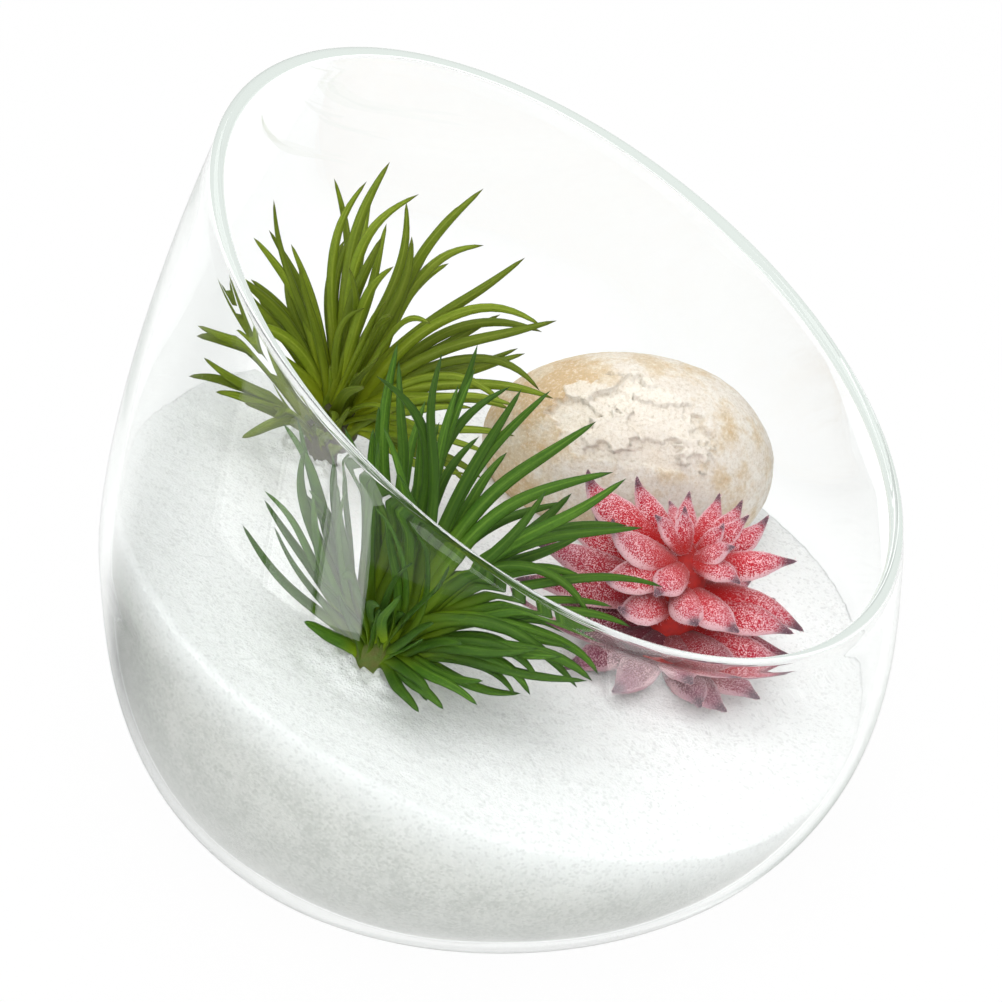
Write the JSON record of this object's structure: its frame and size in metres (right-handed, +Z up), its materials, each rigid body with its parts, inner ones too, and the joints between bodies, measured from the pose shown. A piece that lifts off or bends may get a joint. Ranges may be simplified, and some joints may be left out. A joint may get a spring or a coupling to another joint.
{
  "type": "plant terrarium in a slant-cut glass bowl",
  "caption": "Round clear glass bowl with a slanted open mouth, holding a sloping bed of white sand with grassy tufts, a red flocked succulent rosette and an oval pebble.",
  "frame": {"origin": "centre of the underside of the bowl's flat foot, on the bowl's axis", "axes": "+Z up along the bowl's axis, +X toward the low side of the slanted mouth, +Y to the left of someone looking along +X"},
  "size_m": [0.1501, 0.15, 0.1371],
  "materials": {
    "glass_bowl": "clear blown glass, fire-polished rim",
    "sand_bed": "fine white sand, matte",
    "olive_tuft": "satin leaf",
    "green_tuft": "satin leaf",
    "red_rosette": "flocked, matte, with pale hairs",
    "river_stone": "water-worn, matte, with a chipped patch"
  },
  "bodies": {
    "root": {"glass_bowl": "glass_bowl", "sand_bed": "sand_bed", "olive_tuft": "olive_tuft", "green_tuft": "green_tuft", "red_rosette": "red_rosette", "river_stone": "river_stone"}
  },
  "joints": []
}
